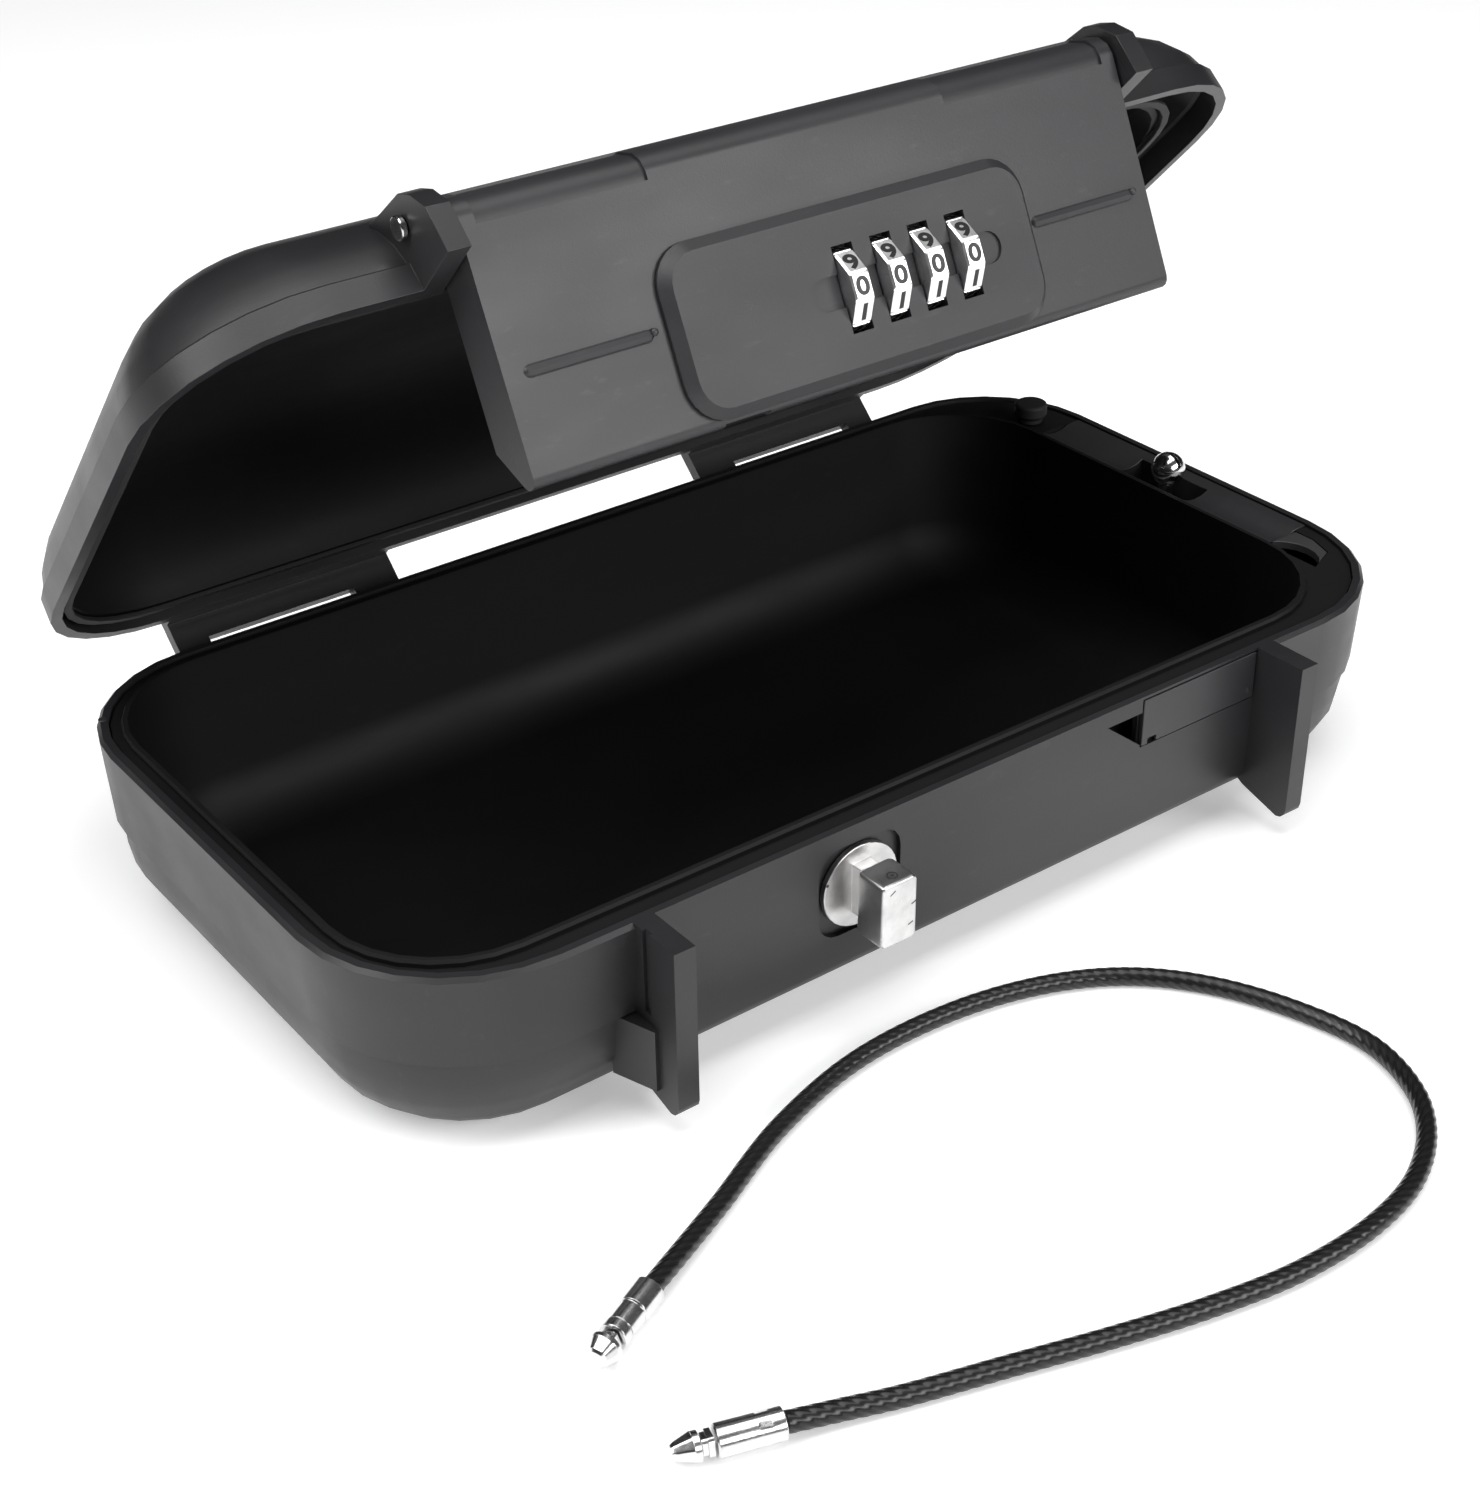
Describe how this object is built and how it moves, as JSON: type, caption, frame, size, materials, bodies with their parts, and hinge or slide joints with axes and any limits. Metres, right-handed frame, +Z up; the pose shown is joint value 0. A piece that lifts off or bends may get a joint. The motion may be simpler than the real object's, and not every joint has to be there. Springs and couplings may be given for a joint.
{
  "type": "portable car safe",
  "caption": "Portable safe: moulded base and hinged lid, a swinging flap with combination dials that closes over a locking stud, and a loose security cable.",
  "frame": {"origin": "middle of the base's flat underside", "axes": "+Z up, +X to the right along the width, -Y to the front where the lock is; the lid is hinged at +Y and stored open"},
  "size_m": [0.262, 0.2679, 0.1589],
  "materials": {
    "shell_black": "moulded, satin",
    "liner_black": "moulded, matte",
    "bay_grey": "moulded, satin",
    "soft_black": "soft, dull",
    "bright_steel": "polished",
    "plain_steel": "plain",
    "cable_jacket": "smooth jacket"
  },
  "bodies": {
    "base": {"base_shell": "shell_black", "base_inner": "liner_black", "cable_bay_plate": "bay_grey", "corner_plate": "bay_grey", "cable_post": "bright_steel", "rubber_peg": "soft_black", "lock_stud": "bright_steel", "stud_nut": "plain_steel", "outlet_cover": "bay_grey", "hinge_pin_left": "plain_steel", "hinge_pin_right": "plain_steel", "cable": "cable_jacket", "cable_ferrule_a": "bright_steel", "cable_head_a": "bright_steel", "cable_ferrule_b": "bright_steel", "cable_head_b": "bright_steel", "standing_pad_1": "soft_black", "standing_pad_2": "soft_black", "standing_pad_3": "soft_black", "standing_pad_4": "soft_black"},
    "lid": {"lid_shell": "shell_black", "lid_inner": "liner_black", "lid_seal": "soft_black"},
    "flap_pin": {"flap_pin": "plain_steel"},
    "flap": {"flap_cover": "shell_black", "lock_panel": "shell_black", "back_plate": "liner_black", "lock_frame": "plain_steel", "click_springs": "plain_steel", "back_screw_1": "plain_steel", "back_screw_2": "plain_steel", "back_screw_3": "plain_steel", "back_screw_4": "plain_steel"},
    "dial_1_body": {"dial_1": "bright_steel"},
    "dial_2_body": {"dial_2": "bright_steel"},
    "dial_3_body": {"dial_3": "bright_steel"},
    "dial_4_body": {"dial_4": "bright_steel"},
    "bolt": {"lock_bolt": "plain_steel", "dial_spindle": "plain_steel"}
  },
  "joints": [
    {"name": "lid_hinge", "type": "hinge", "parent": "base", "child": "lid", "pos_m": [0, 0.07615, 0.0281], "axis": [-1, 0, 0], "range_deg": [-46.4, 0]},
    {"name": "flap_follow", "type": "hinge", "parent": "lid", "child": "flap_pin", "pos_m": [0, -0.00799, 0.15242], "axis": [-1, 0, 0], "range_deg": [0, 29]},
    {"name": "flap_hinge", "type": "hinge", "parent": "flap_pin", "child": "flap", "pos_m": [0, -0.00799, 0.15242], "axis": [-1, 0, 0], "range_deg": [-8, 100]},
    {"name": "dial_1_spin", "type": "hinge", "parent": "flap", "child": "dial_1_body", "pos_m": [-0.0026, -0.02734, 0.12731], "axis": [1, 0, 0], "continuous": true},
    {"name": "dial_2_spin", "type": "hinge", "parent": "flap", "child": "dial_2_body", "pos_m": [0.0065, -0.02734, 0.12731], "axis": [1, 0, 0], "continuous": true},
    {"name": "dial_3_spin", "type": "hinge", "parent": "flap", "child": "dial_3_body", "pos_m": [0.0156, -0.02734, 0.12731], "axis": [1, 0, 0], "continuous": true},
    {"name": "dial_4_spin", "type": "hinge", "parent": "flap", "child": "dial_4_body", "pos_m": [0.0247, -0.02734, 0.12731], "axis": [1, 0, 0], "continuous": true},
    {"name": "lock_bolt_slide", "type": "slide", "parent": "flap", "child": "bolt", "axis": [1, 0, 0], "range_m": [-0.0028, 0]}
  ],
  "couplings": [
    {"joint": "flap_follow", "follows": "lid_hinge", "ratio": -0.6207}
  ]
}
